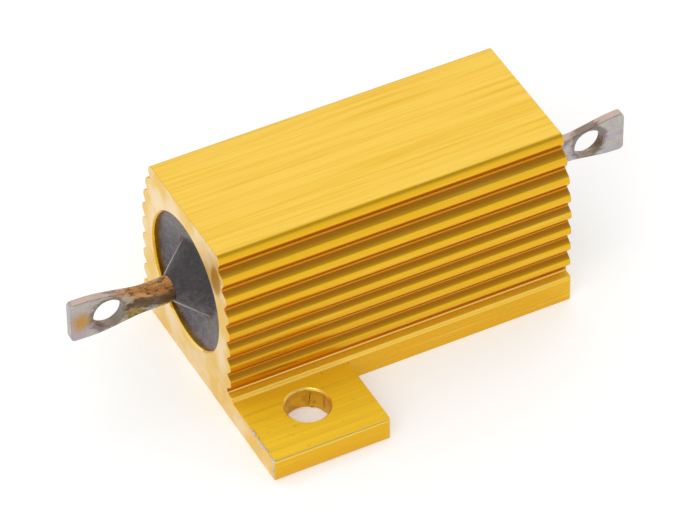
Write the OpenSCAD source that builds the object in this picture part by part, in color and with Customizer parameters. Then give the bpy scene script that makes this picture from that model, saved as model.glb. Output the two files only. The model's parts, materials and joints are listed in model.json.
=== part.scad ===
// Aluminium housed power resistor.
//
// A ribbed, gold anodised extrusion carries a wire wound ceramic element that is
// moulded into its bore. The extrusion is milled down to two screw tabs on one
// diagonal, and a flattened, pierced terminal stands out of each end.
//
// X runs across the housing and Y along it, with the front terminal at -Y.
// The base lies on Z = 0 and the origin is at the middle of the base.

/* [Housing] */
// Length of the extrusion between its two sawn ends
housing_length = 27.7; // [25:0.1:36]
// Height of the flat top above the base
housing_height = 14.7; // [14.5:0.1:16]
// Width of the body over its rib crests
flank_width = 14.24; // [13.8:0.02:16]
// Height above which the flanks lean inwards
bow_start = 7.6; // [6:0.1:10]
// Radius of the inward bow of the flanks
bow_radius = 16; // [14:0.5:40]
// Radius of the two long edges of the flat top
top_edge_radius = 0.55; // [0.1:0.05:0.7]
// Diameter of the bore that holds the element
bore_diameter = 10.6; // [9:0.1:11]
// Height of the bore's axis above the base
bore_height = 7.8; // [7.4:0.05:8]
// Width of the deburring chamfer round each mouth of the bore
bore_chamfer = 0.12; // [0.05:0.01:0.15]

/* [Ribs] */
// Number of ribs on each flank, below the shoulder of the flat top
rib_count = 7; // [4:1:7]
// Depth of the grooves between the ribs
rib_depth = 0.52; // [0.2:0.02:0.6]
// Height of one rib, from the top of its slope to its tip
rib_thickness = 0.82; // [0.7:0.02:0.9]
// Drop of the slope from a groove out to the crest
rib_slope = 0.32; // [0.2:0.01:0.5]
// Drop of a rib's underside from its tip back to the groove
rib_undercut = 0.58; // [0.1:0.02:0.64]
// Lean of the crest between its shoulder and its tip
rib_lean = 0.06; // [0:0.01:0.15]
// Height of the lowest rib tip above the ledge
lowest_tip_rise = 1.05; // [0.8:0.05:1.2]
// Drop from the flat top to the tip of the shoulder
shoulder_drop = 0.6; // [0.5:0.05:0.8]
// Depth of the groove between the lowest rib and the ledge
root_groove_depth = 0.65; // [0.3:0.05:0.8]
// Radius along the tip of a rib
rib_tip_radius = 0.42; // [0.05:0.01:0.5]
// Radius where a rib's slope turns down into its crest
rib_brow_radius = 0.25; // [0.1:0.05:0.5]
// Radius in the two corners of a groove between ribs
groove_radius = 0.12; // [0.05:0.01:0.2]
// Radius of the shoulder's tip and of the groove over the ledge
shoulder_radius = 0.2; // [0.05:0.05:0.3]

/* [Base and tabs] */
// How far each milled side stands out past the rib crests
base_lip = 0.13; // [0.05:0.01:0.4]
// Width over both tabs
tab_span = 28; // [27:0.1:32]
// Length of a tab along the housing
tab_length = 9.3; // [8:0.1:11]
// Thickness of a tab
tab_thickness = 1.9; // [1.5:0.1:2.5]
// Height of the ledge above the top of a tab
ledge_height = 0.35; // [0.1:0.05:0.6]
// Radius along the ledge's edge
ledge_radius = 0.12; // [0.02:0.02:0.14]
// Radius along the outer top edge of a tab
tab_edge_radius = 0.25; // [0.1:0.05:0.6]
// Radius along the lower edges of the base
base_edge_radius = 0.25; // [0.05:0.05:0.4]
// Radius of a tab's upright rear corner and of the milled corner at its root
mill_radius = 0.3; // [0.1:0.05:1]
// Radius of the upright corner at the other end of each milled side
end_radius = 0.15; // [0.05:0.05:0.6]
// Diameter of the screw holes
hole_diameter = 3.3; // [2.8:0.1:3.8]
// Distance across the housing between the screw holes
hole_spacing_x = 19.8; // [19:0.1:23]
// Distance along the housing between the screw holes
hole_spacing_y = 18.3; // [17:0.1:20]
// Width of the deburring chamfer round each screw hole
hole_chamfer = 0.12; // [0.05:0.01:0.3]

/* [Moulding] */
// Depth of the moulding's rim below the end of the housing
rim_recess = 0.45; // [0.2:0.05:0.8]
// Depth of the ring shaped valley below the end of the housing
valley_depth = 1.15; // [0.9:0.05:1.6]
// Radius of the valley, where the central boss starts
valley_radius = 3.15; // [2.6:0.05:3.8]
// Rounding at the bottom of the valley
valley_fillet = 0.25; // [0.05:0.05:0.5]
// How far the boss stands out past the end of the housing
boss_rise = 1.25; // [0.2:0.05:2]
// Width of the flat ring at the top of the boss, round the terminal
boss_land = 0.08; // [0.02:0.01:0.3]

/* [Wound element] */
// Diameter of the ceramic core
core_diameter = 5.6; // [4:0.1:6.4]
// Length of the ceramic core
core_length = 19; // [14:0.5:21]
// Wall of the pressed end caps
cap_wall = 0.45; // [0.3:0.05:0.7]
// Thickness of the closed end of a cap
cap_end = 0.4; // [0.3:0.05:0.8]
// How far a cap grips over the core
cap_grip = 2.6; // [1.5:0.1:4]
// Outer corner radius of a cap
cap_radius = 0.25; // [0.05:0.05:0.3]
// Diameter of the resistance wire
wire_diameter = 0.34; // [0.2:0.02:0.4]
// Number of turns of resistance wire
wire_turns = 16; // [8:1:20]
// Running clearance between the wire and what it lies on or under
wire_clearance = 0.02; // [0.01:0.01:0.05]

/* [Terminals] */
// Diameter of the round shank
shank_diameter = 2; // [1.6:0.1:2.4]
// Distance from the front end of the housing to the front terminal's tip
front_reach = 9.2; // [8:0.1:12]
// Distance from the rear end of the housing to the rear terminal's tip
rear_reach = 8.1; // [7.8:0.1:12]
// How far a terminal sags below the bore's axis just outside the boss
neck_sag = 0.12; // [0:0.01:0.2]
// Height of the front lug's tip above the bore's axis
front_lift = 0.1; // [-0.3:0.05:0.3]
// Height of the rear lug's tip above the bore's axis
rear_lift = -0.1; // [-0.3:0.05:0.3]
// Length of round shank left outside the housing, before the flare
neck_length = 2.3; // [2:0.1:2.6]
// Length over which the shank flares into the lug
flare_length = 5.6; // [4.6:0.1:6.5]
// Full width of the flattened lug
lug_width = 3.45; // [3.2:0.05:4.2]
// Thickness of the flattened lug
lug_thickness = 0.75; // [0.5:0.05:1]
// Rounding of the lug's long edges
lug_edge_radius = 0.14; // [0.05:0.01:0.2]
// Rounding of the lug's two tip corners
tip_radius = 0.3; // [0.1:0.05:0.6]
// Diameter of the lug's eye
eye_diameter = 2.4; // [2:0.1:2.6]
// Distance from the middle of the eye to the tip
eye_inset = 2.95; // [2:0.05:3.1]
// Least metal left between the eye and the lug's edges
eye_wall = 0.12; // [0.05:0.01:0.2]

/* [Hidden] */

GOLD = [0.86, 0.66, 0.16];
CHARCOAL = [0.24, 0.23, 0.25];
CERAMIC = [0.93, 0.91, 0.86];
ALLOY = [0.62, 0.58, 0.52];
STEEL = [0.70, 0.71, 0.73];
TINNED = [0.66, 0.62, 0.54];

ROUND = 96;           // facets of a circle wherever one has to be drawn
ARC_STEP = 24;        // largest turn, in degrees, between two points of a rounded corner
FILLET_SHARE = 0.45;  // largest part of a side that one rounded corner may use up
PAST = 1;             // how far a cutter runs past the surface that it cuts

half_length = housing_length / 2;
half_flank = flank_width / 2;
half_base = half_flank + base_lip;
half_span = tab_span / 2;
ledge_top = tab_thickness + ledge_height;
lowest_tip = ledge_top + lowest_tip_rise;
shoulder_tip = housing_height - shoulder_drop;
rib_pitch = (shoulder_tip - lowest_tip) / rib_count;
bore_radius = bore_diameter / 2;
hole_radius = hole_diameter / 2;

core_radius = core_diameter / 2;
cap_outer = core_radius + cap_wall;
cap_face = core_length / 2 + cap_end;
cap_rim = core_length / 2 - cap_grip;
wire_radius = wire_diameter / 2;
WIRE_STEPS = 18;      // straight stretches in one turn of the wire
WIRE_SIDES = 6;       // sides of the wire's cross-section
winding_radius = (core_radius + wire_clearance + wire_radius) / cos(180 / WIRE_STEPS);
winding_room = max(cap_outer, winding_radius + wire_radius) + wire_clearance;
winding_run = 2 * (cap_rim - wire_radius);

shank_radius = shank_diameter / 2;
boss_top = half_length + boss_rise;
SHANK_GAP = 0.02;     // how far the loft's first ring lies inside the round shank
PRESSED = 0.35;       // share of the flare in which the shank is pressed down to the lug's thickness
SAG_BEND = 0.6;       // how near the boss a terminal sags most, less being nearer
LUG_STEPS = 14;       // rings along the free length of a terminal
TIP_STEPS = 3;        // rings round a tip corner
CORNER_STEPS = 3;     // stretches round each corner of the loft's section

// ---------------------------------------------------------------- outlines

function unit(v) = v / norm(v);
function turned(v, angle) =
    [v.x * cos(angle) - v.y * sin(angle), v.x * sin(angle) + v.y * cos(angle)];
function plan(corner) = [corner.x, corner.y];

// Arc that rounds corner b, given as [x, y, radius], between its neighbours a and c.
function corner_arc(a, b, c) =
    b.z == 0 ? [plan(b)] :
    let (
        to_a = plan(a) - plan(b),
        to_c = plan(c) - plan(b),
        half = acos(unit(to_a) * unit(to_c)) / 2,
        side = FILLET_SHARE * min(norm(to_a), norm(to_c)),
        radius = min(b.z, side * tan(half)),
        centre = plan(b) + unit(unit(to_a) + unit(to_c)) * radius / sin(half),
        start = plan(b) + unit(to_a) * radius / tan(half) - centre,
        sweep = (180 - 2 * half) * sign(cross(to_c, to_a)),
        steps = ceil(abs(sweep) / ARC_STEP)
    )
    [for (i = [0:steps]) centre + turned(start, sweep * i / steps)];

// A closed outline with every corner rounded by its own radius.
function rounded(corners) =
    let (n = len(corners))
    [for (i = [0:n - 1]) each corner_arc(corners[(i + n - 1) % n], corners[i], corners[(i + 1) % n])];

function reversed(list) = [for (i = [len(list) - 1:-1:0]) list[i]];
function mirrored(corners) = reversed([for (c = corners) [-c.x, c.y, c.z]]);

// Half width of the crest line of a flank at height z: upright, then bowed inwards.
function crest(z) =
    half_flank - (z > bow_start ? bow_radius - sqrt(pow(bow_radius, 2) - pow(z - bow_start, 2)) : 0);

// Corners of one rib, from the groove under its tip to the groove over its slope.
function rib(tip) =
    let (brow = tip + rib_thickness - rib_slope, top = tip + rib_thickness)
    [
        [crest(tip - rib_undercut) - rib_depth, tip - rib_undercut, groove_radius],
        [crest(tip), tip, rib_tip_radius],
        [crest(brow) - rib_lean, brow, rib_brow_radius],
        [crest(top) - rib_depth, top, groove_radius]
    ];

// Right half of the extrusion's section, from the underside up to the flat top.
function half_section() = [
    [half_span, 0, base_edge_radius],
    [half_span, tab_thickness, tab_edge_radius],
    [half_base, tab_thickness, ledge_radius],
    [half_flank, ledge_top, ledge_radius],
    [crest(ledge_top) - root_groove_depth, ledge_top, shoulder_radius],
    [crest(lowest_tip - rib_undercut) - root_groove_depth, lowest_tip - rib_undercut, shoulder_radius],
    for (i = [0:rib_count - 1])
        let (corners = rib(lowest_tip + i * rib_pitch))
        for (k = [i == 0 ? 1 : 0:3]) corners[k],
    [crest(shoulder_tip - rib_undercut) - rib_depth, shoulder_tip - rib_undercut, groove_radius],
    [crest(shoulder_tip), shoulder_tip, shoulder_radius],
    [crest(housing_height), housing_height, top_edge_radius]
];

// The milled shape seen from above: the body with a tab left at each end of one diagonal.
function half_milling() = [
    [half_base, half_length, end_radius],
    [half_base, tab_length - half_length, mill_radius],
    [half_span, tab_length - half_length, mill_radius],
    [half_span, -half_length, 0]
];

// ---------------------------------------------------------------- housing

module extrusion() {
    rotate([90, 0, 0])
        linear_extrude(height = housing_length, center = true)
            polygon(rounded(concat(half_section(), mirrored(half_section()))));
}

module milling() {
    translate([0, 0, -PAST])
        linear_extrude(height = housing_height + 2 * PAST)
            polygon(rounded([
                for (turn = [1, -1], c = reversed(half_milling())) [turn * c.x, turn * c.y, c.z]
            ]));
}

// Lays children that are made round Z along the bore, with their +Z towards the rear.
module along_bore() {
    translate([0, 0, bore_height]) rotate([-90, 0, 0]) children();
}

// Cutter that breaks the edge of a round hole, whose mouth lies on Z = 0 and faces up.
module edge_break(radius, width) {
    translate([0, 0, -width])
        cylinder(r1 = radius, r2 = radius + width + PAST, h = width + PAST, $fn = ROUND);
}

module screw_hole() {
    translate([0, 0, -PAST]) cylinder(r = hole_radius, h = tab_thickness + 2 * PAST, $fn = ROUND);
    translate([0, 0, tab_thickness]) edge_break(hole_radius, hole_chamfer);
    mirror([0, 0, 1]) edge_break(hole_radius, hole_chamfer);
}

module housing() {
    color(GOLD) difference() {
        intersection() {
            extrusion();
            milling();
        }
        along_bore()
            cylinder(r = bore_radius, h = housing_length + 2 * PAST, center = true, $fn = ROUND);
        for (end = [0, 1])
            along_bore()
                mirror([0, 0, end]) translate([0, 0, half_length]) edge_break(bore_radius, bore_chamfer);
        for (side = [1, -1])
            translate([side * hole_spacing_x / 2, -side * hole_spacing_y / 2, 0]) screw_hole();
    }
}

// ---------------------------------------------------------------- moulding

// Outside of one end, as [radius, distance from the middle, rounding], from the boss outwards.
function end_form() = [
    [shank_radius, boss_top, 0],
    [shank_radius + boss_land, boss_top, 0],
    [valley_radius, half_length - valley_depth, valley_fillet],
    [bore_radius, half_length - rim_recess, 0]
];

// Hollow that the element fills, from the middle outwards to the terminal.
function element_form() = [
    [winding_room, cap_rim, 0],
    [cap_outer, cap_rim, 0],
    [cap_outer, cap_face, cap_radius],
    [shank_radius, cap_face, 0]
];

function flipped(corners) = reversed([for (c = corners) [c.x, -c.y, c.z]]);

module moulding() {
    color(CHARCOAL)
        along_bore()
            rotate_extrude($fn = ROUND)
                polygon(rounded(concat(
                    end_form(), flipped(end_form()), flipped(element_form()), element_form()
                )));
}

// ---------------------------------------------------------------- element

module ceramic_core() {
    color(CERAMIC) along_bore() cylinder(r = core_radius, h = core_length, center = true, $fn = ROUND);
}

// One cap at the rear end of the core, open towards the middle.
module cap() {
    color(STEEL)
        along_bore()
            rotate_extrude($fn = ROUND)
                polygon(rounded([
                    [0, core_length / 2, 0], [core_radius, core_length / 2, 0], [core_radius, cap_rim, 0],
                    [cap_outer, cap_rim, 0], [cap_outer, cap_face, cap_radius], [0, cap_face, 0]
                ]));
}

module rear_cap() cap();
module front_cap() mirror([0, 1, 0]) cap();

// Point on the skin of the wire: step along the helix, side round the wire.
function wire_point(step, side) =
    let (
        turn = 360 * step / WIRE_STEPS,
        around = 360 * side / WIRE_SIDES,
        radius = winding_radius + wire_radius * cos(around),
        along = winding_run * (step / (wire_turns * WIRE_STEPS) - 0.5) - wire_radius * sin(around)
    )
    [radius * cos(turn), radius * sin(turn), along];

// Faces of a closed tube. Each ring runs anticlockwise as seen from the tube's far end.
function tube_faces(rings, sides) = [
    [for (s = [0:sides - 1]) s],
    for (r = [0:rings - 2], s = [0:sides - 1])
        let (a = r * sides + s, b = r * sides + (s + 1) % sides)
        each [[a, a + sides, b + sides], [a, b + sides, b]],
    [for (s = [sides - 1:-1:0]) (rings - 1) * sides + s]
];

module resistance_winding() {
    rings = wire_turns * WIRE_STEPS + 1;
    color(ALLOY)
        along_bore()
            polyhedron(
                points = [for (r = [0:rings - 1], s = [0:WIRE_SIDES - 1]) wire_point(r, s)],
                faces = tube_faces(rings, WIRE_SIDES)
            );
}

// ---------------------------------------------------------------- terminals

function eased(t) = let (u = max(0, min(1, t))) u * u * (3 - 2 * u);
function between(a, b, t) = a + (b - a) * t;

// Share of the flare that lies behind a place y, measured from the middle of the housing.
function flared(y) = (y - half_length - neck_length) / flare_length;

function half_lug_width(y) = between(shank_radius - SHANK_GAP, lug_width / 2, eased(flared(y)));

// Height of the terminal's middle above the bore's axis at place y.
function lug_height(y, tip, lift) =
    let (u = max(0, y - boss_top) / (tip - boss_top))
    lift * u - neck_sag * sin(180 * pow(u, SAG_BEND));

// Section of the terminal at place y: [half thickness, half width, corner, height, place].
function lug_section(y, tip, lift) =
    let (
        pressed = eased(flared(y) / PRESSED),
        thin = between(shank_radius - SHANK_GAP, lug_thickness / 2, pressed),
        corner = between(shank_radius - SHANK_GAP, lug_edge_radius, pressed)
    )
    [thin, half_lug_width(y), min(thin, corner) - SHANK_GAP, lug_height(y, tip, lift), y];

// Sections from the boss to the tip, where the last ones draw in to round its corners.
function lug_sections(tip, lift) =
    let (last = lug_section(tip - tip_radius, tip, lift))
    [
        lug_section(boss_top - shank_radius / 2, tip, lift),
        for (i = [0:LUG_STEPS])
            lug_section(between(boss_top, tip - tip_radius, i / LUG_STEPS), tip, lift),
        for (i = [1:TIP_STEPS])
            let (angle = 90 * i / TIP_STEPS)
            [
                last[0], last[1] - tip_radius * (1 - cos(angle)), last[2], last[3],
                tip - tip_radius * (1 - sin(angle))
            ]
    ];

// Ring of points round one section, corner by corner.
function lug_ring(s) =
    let (quarters = [[1, 1], [-1, 1], [-1, -1], [1, -1]])
    [
        for (q = [0:3], i = [0:CORNER_STEPS])
            let (angle = 90 * (q + i / CORNER_STEPS))
            [
                quarters[q][0] * (s[0] - s[2]) + s[2] * cos(angle),
                quarters[q][1] * (s[1] - s[2]) + s[2] * sin(angle) - s[3],
                s[4]
            ]
    ];

// One terminal at the rear end: a round shank off the cap, flattened into a pierced lug.
module terminal(reach, lift) {
    tip = half_length + reach;
    sections = lug_sections(tip, lift);
    sides = 4 * (CORNER_STEPS + 1);
    eye = tip - eye_inset;
    color(TINNED)
        along_bore()
            difference() {
                union() {
                    translate([0, 0, cap_face])
                        cylinder(r = shank_radius, h = boss_top - cap_face, $fn = ROUND);
                    polyhedron(
                        points = [for (s = sections) each lug_ring(s)],
                        faces = tube_faces(len(sections), sides)
                    );
                }
                translate([0, -lug_height(eye, tip, lift), eye])
                    rotate([0, 90, 0])
                        cylinder(r = min(eye_diameter / 2, half_lug_width(eye) - eye_wall),
                                 h = lug_thickness + 2 * PAST, center = true, $fn = ROUND);
            }
}

module rear_terminal() terminal(rear_reach, rear_lift);
module front_terminal() mirror([0, 1, 0]) terminal(front_reach, front_lift);

housing();
moulding();
ceramic_core();
resistance_winding();
front_cap();
rear_cap();
front_terminal();
rear_terminal();
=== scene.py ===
"""Looks of an aluminium housed power resistor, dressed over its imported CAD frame.

X runs across the housing, Y along its bore with the front terminal at -Y, and Z up from the base.
Lengths in the classes are millimetres, and meshes are handed over in metres.
"""

from __future__ import annotations

import json
import logging
import math
from dataclasses import dataclass, field
from enum import Enum
from typing import Sequence

import bmesh
import bpy
import numpy as np
from mathutils import Matrix, Vector

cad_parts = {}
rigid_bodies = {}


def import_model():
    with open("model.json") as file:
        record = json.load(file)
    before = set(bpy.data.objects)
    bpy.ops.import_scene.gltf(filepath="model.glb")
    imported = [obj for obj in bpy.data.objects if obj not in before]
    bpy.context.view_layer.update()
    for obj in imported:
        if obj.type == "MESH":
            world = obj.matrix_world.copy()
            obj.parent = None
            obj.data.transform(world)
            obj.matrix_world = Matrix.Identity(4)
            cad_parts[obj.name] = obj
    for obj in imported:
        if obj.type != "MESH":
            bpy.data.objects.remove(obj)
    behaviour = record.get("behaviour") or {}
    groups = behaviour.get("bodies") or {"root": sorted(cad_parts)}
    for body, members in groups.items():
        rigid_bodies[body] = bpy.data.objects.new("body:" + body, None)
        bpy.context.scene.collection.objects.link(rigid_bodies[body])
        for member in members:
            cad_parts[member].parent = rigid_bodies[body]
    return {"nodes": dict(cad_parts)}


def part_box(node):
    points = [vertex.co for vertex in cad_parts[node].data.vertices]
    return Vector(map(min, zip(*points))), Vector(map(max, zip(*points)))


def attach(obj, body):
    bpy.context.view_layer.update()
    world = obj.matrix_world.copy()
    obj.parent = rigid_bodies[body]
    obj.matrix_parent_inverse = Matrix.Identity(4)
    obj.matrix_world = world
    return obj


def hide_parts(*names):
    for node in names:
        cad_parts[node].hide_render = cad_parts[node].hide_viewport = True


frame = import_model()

LOG = logging.getLogger("resistor")
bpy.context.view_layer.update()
ROOT = "root"

MM = 0.001  # a millimetre in metres
WELD = 1e-7  # vertices this near are one, in metres
CAP_GAP = 0.02  # clearance between the caps and the moulding
LUG_LIFT = 0.1  # how far the front lug's tip lies over the axis, and the rear one's under it
MIDDLE_HEIGHT = 7.25  # height of the point that the camera and the lights look at
BREAK_ANGLE = 50  # edges that turn by more degrees than this are broken
LAST_CORNER = 1000.0  # order of the section's left half counts down from here
SECOND_HALF = 100.0  # order of the milled outline's turned half counts up from here
ORIGIN = (0.0, 0.0, 0.0)

Colour = tuple[float, float, float]
Corner = tuple[float, float, float]
Span = tuple[float, float]
Node = bpy.types.Node
Wire = bpy.types.NodeSocket
Thing = bpy.types.Object


class Socket(Enum):
    """Kinds of named input that a geometry recipe can ask for."""

    LENGTH = "NodeSocketFloat"
    COUNT = "NodeSocketInt"
    GEOMETRY = "NodeSocketGeometry"
    MATERIAL = "NodeSocketMaterial"


class Slot(Enum):
    """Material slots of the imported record."""

    HOUSING = "anodised_housing"
    MOULDING = "moulding"
    CERAMIC = "ceramic"
    WIRE = "resistance_wire"
    CAP = "cap_steel"
    TERMINAL = "tinned_terminal"


# ------------------------------------------------------------------ node building


class Graph:
    """Adds nodes to a node tree and wires them up."""

    def __init__(self, tree: bpy.types.NodeTree) -> None:
        """Starts on a node tree.

        Args:
            tree: The tree that gets the nodes.
        """
        self.tree = tree

    def add(self, kind: str, inputs: dict | None = None, **settings: object) -> Node:
        """Adds one node.

        Args:
            kind: Blender's name for the node type.
            inputs: Values or sockets by the name or the index of the input they go to.
            **settings: Properties of the node itself.

        Returns:
            The new node.
        """
        node = self.tree.nodes.new(kind)
        for name, value in settings.items():
            setattr(node, name, value)
        for name, value in (inputs or {}).items():
            for one in value if isinstance(value, list) else [value]:
                if isinstance(one, Wire):
                    self.tree.links.new(one, node.inputs[name])
                else:
                    node.inputs[name].default_value = one
        return node

    @classmethod
    def blank(cls, owner: bpy.types.Material | bpy.types.World) -> Graph:
        """Returns a graph on the emptied node tree of a material or a world."""
        owner.use_nodes = True
        owner.node_tree.nodes.clear()
        return cls(owner.node_tree)

    def out(self, kind: str, inputs: dict | None = None, **settings: object) -> Wire:
        """Returns the first output of a new node."""
        return self.add(kind, inputs, **settings).outputs[0]

    def feed(self, node: Node, name: str, wire: Wire) -> None:
        """Links a socket to a named input of a node."""
        self.tree.links.new(wire, node.inputs[name])

    def math(self, operation: str, *values: object) -> Wire:
        """Returns the result of a Math node on up to three values or sockets."""
        return self.out("ShaderNodeMath", dict(enumerate(values)), operation=operation)

    def times(self, first: object, *others: object) -> Wire:
        """Returns the product of values or sockets."""
        for other in others:
            first = self.math("MULTIPLY", first, other)
        return first

    def plus(self, first: object, second: object) -> Wire:
        """Returns the sum of two values or sockets."""
        return self.math("ADD", first, second)

    def minus(self, first: object, second: object) -> Wire:
        """Returns the first value or socket less the second."""
        return self.math("SUBTRACT", first, second)

    def rest(self, share: Wire) -> Wire:
        """Returns what a share leaves of 1."""
        return self.math("SUBTRACT", 1.0, share)

    def absolute(self, value: Wire) -> Wire:
        """Returns a value without its sign."""
        return self.math("ABSOLUTE", value)

    def vector(self, operation: str, *values: object) -> Wire:
        """Returns the result of a Vector Math node on up to three vectors or sockets."""
        return self.out("ShaderNodeVectorMath", dict(enumerate(values)), operation=operation)

    def joined(self, x: object, y: object, z: object) -> Wire:
        """Returns a vector made of three values or sockets."""
        return self.out("ShaderNodeCombineXYZ", {0: x, 1: y, 2: z})

    def parts(self, vector: Wire) -> list[Wire]:
        """Returns the x, y and z of a vector socket."""
        return list(self.add("ShaderNodeSeparateXYZ", {0: vector}).outputs)

    def distance(self, first: object, second: object) -> Wire:
        """Returns the distance between two points or sockets."""
        node = self.add("ShaderNodeVectorMath", {0: first, 1: second}, operation="DISTANCE")
        return node.outputs["Value"]

    def drop(self, value: Wire, low: float, high: float) -> Wire:
        """Returns 1 below low and 0 above high, smooth between them."""
        return self.rest(self.ramp(value, low, high))

    def ramp(self, value: Wire, low: float, high: float) -> Wire:
        """Returns 0 below low and 1 above high, smooth between them.

        Args:
            value: The socket that is mapped.
            low: Where the result leaves 0.
            high: Where the result reaches 1.

        Returns:
            The mapped socket.
        """
        inputs = {"Value": value, "From Min": low, "From Max": high}
        return self.out("ShaderNodeMapRange", inputs, interpolation_type="SMOOTHSTEP")

    def spread(
        self, value: Wire, low: float, high: float, to_low: float, to_high: float
    ) -> Wire:
        """Returns a value mapped in a straight line from one span to another.

        Args:
            value: The socket that is mapped.
            low: Start of the span that it comes from.
            high: End of the span that it comes from.
            to_low: Start of the span that it goes to.
            to_high: End of the span that it goes to.

        Returns:
            The mapped socket.
        """
        inputs = {1: low, 2: high, 3: to_low, 4: to_high, 0: value}
        return self.out("ShaderNodeMapRange", inputs)

    def blend(self, share: Wire, low: object, high: object) -> Wire:
        """Returns a number mixed from two numbers or sockets."""
        return self.out("ShaderNodeMix", {0: share, 2: low, 3: high}, data_type="FLOAT")

    def mixed(self, share: object, low: object, high: object) -> Wire:
        """Returns a colour mixed from two colours or colour sockets.

        Args:
            share: How much of the second colour there is.
            low: The first colour.
            high: The second colour.

        Returns:
            The mixed colour socket.
        """
        node = self.add("ShaderNodeMix", data_type="RGBA")
        for name, value in (("Factor_Float", share), ("A_Color", low), ("B_Color", high)):
            socket = next(s for s in node.inputs if s.identifier == name)
            if isinstance(value, Wire):
                self.tree.links.new(value, socket)
            elif name == "Factor_Float":
                socket.default_value = value
            else:
                socket.default_value = (*value, 1.0)
        return next(s for s in node.outputs if s.identifier == "Result_Color")


class Recipe:
    """A geometry node tree made in code, with named inputs, that turns a seed mesh into a piece."""

    def __init__(self, name: str) -> None:
        """Makes the tree with its incoming geometry.

        Args:
            name: Name of the node tree.
        """
        self.tree = bpy.data.node_groups.new(name, "GeometryNodeTree")
        self.graph = Graph(self.tree)
        self.ids: dict[str, str] = {}
        self.entry = self.graph.add("NodeGroupInput")
        self.seed = self.ask("Geometry", Socket.GEOMETRY)
        self.tree.interface.new_socket("Geometry", in_out="OUTPUT", socket_type=Socket.GEOMETRY.value)

    def ask(self, name: str, kind: Socket = Socket.LENGTH) -> Wire:
        """Adds a named input.

        Args:
            name: Name of the input, as main code sets it.
            kind: What sort of value it takes.

        Returns:
            The socket inside the tree that carries the input.
        """
        item = self.tree.interface.new_socket(name, in_out="INPUT", socket_type=kind.value)
        self.ids[name] = item.identifier
        return next(s for s in self.entry.outputs if s.identifier == item.identifier)

    def attribute(self, name: str) -> Wire:
        """Returns the socket of a named number that the geometry carries."""
        return self.graph.out("GeometryNodeInputNamedAttribute", {"Name": name}, data_type="FLOAT")

    def stored(
        self, geometry: Wire, name: str, value: Wire
    ) -> Wire:
        """Returns the geometry with a float attribute stored on its points.

        Args:
            geometry: Geometry that gets the attribute.
            name: Name of the attribute.
            value: Field that fills it.

        Returns:
            The geometry socket.
        """
        inputs = {"Geometry": geometry, "Name": name, "Value": value}
        return self.graph.out("GeometryNodeStoreNamedAttribute", inputs, data_type="FLOAT", domain="POINT")

    def joined(self, *pieces: Wire) -> Wire:
        """Returns several geometries as one."""
        return self.graph.out("GeometryNodeJoinGeometry", {"Geometry": list(pieces)})

    def moved(self, geometry: Wire, **placing: object) -> Wire:
        """Returns the geometry put through a transform, given its rotation, translation or scale."""
        inputs = {"Geometry": geometry, **{name.capitalize(): value for name, value in placing.items()}}
        return self.graph.out("GeometryNodeTransform", inputs)

    def split(self, points: Wire, share: str) -> tuple[Wire, Wire]:
        """Returns the points whose named number isn't 0, and the others."""
        inputs = {0: points, 1: self.attribute(share)}
        node = self.graph.add("GeometryNodeSeparateGeometry", inputs, domain="POINT")
        return node.outputs["Selection"], node.outputs["Inverted"]

    def finish(self, geometry: Wire) -> None:
        """Scales the geometry to metres, realizes it, gives it the material and sends it out.

        Args:
            geometry: The finished geometry in millimetres.
        """
        material = self.ask("Material", Socket.MATERIAL)
        metres = self.moved(geometry, scale=(MM, MM, MM))
        real = self.graph.out("GeometryNodeRealizeInstances", {"Geometry": metres})
        dressed = self.graph.out("GeometryNodeSetMaterial", {"Geometry": real, "Material": material})
        self.graph.add("NodeGroupOutput", {"Geometry": dressed})

    def bake(self, name: str, seed: bpy.types.Mesh, values: dict[str, object]) -> Thing:
        """Runs the tree on a seed mesh and keeps the result as a plain mesh object.

        Args:
            name: Name of the new object.
            seed: Mesh that the tree starts from.
            values: Values of the named inputs.

        Returns:
            The object with the plain mesh, at the origin.
        """
        source = bpy.data.objects.new(f"{name}_seed", seed)
        bpy.context.collection.objects.link(source)
        modifier = source.modifiers.new("recipe", "NODES")
        modifier.node_group = self.tree
        for key, value in values.items():
            modifier[self.ids[key]] = value
        evaluated = source.evaluated_get(bpy.context.evaluated_depsgraph_get())
        mesh = bpy.data.meshes.new_from_object(evaluated)
        source.modifiers.remove(modifier)
        bpy.data.objects.remove(source)
        return placed(name, mesh)


# ------------------------------------------------------------------ mesh helpers


def placed(name: str, mesh: bpy.types.Mesh) -> Thing:
    """Links a mesh into the scene as an object at the origin.

    Args:
        name: Name of the object and of its mesh.
        mesh: The mesh, already in its place.

    Returns:
        The new object.
    """
    mesh.name = name
    thing = bpy.data.objects.new(name, mesh)
    bpy.context.collection.objects.link(thing)
    return thing


def mesh_of(points: np.ndarray, faces: Sequence[Sequence[int]], name: str) -> bpy.types.Mesh:
    """Makes a mesh from points in millimetres, in metres and with its normals outwards.

    Args:
        points: One row of x, y, z for each vertex.
        faces: Vertex numbers of each face.
        name: Name of the mesh.

    Returns:
        The mesh.
    """
    mesh = bpy.data.meshes.new(name)
    mesh.from_pydata([tuple(p) for p in points * MM], [], [tuple(f) for f in faces])
    work = bmesh.new()
    work.from_mesh(mesh)
    bmesh.ops.remove_doubles(work, verts=work.verts, dist=WELD)
    bmesh.ops.recalc_face_normals(work, faces=work.faces)
    work.to_mesh(mesh)
    work.free()
    return mesh


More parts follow.
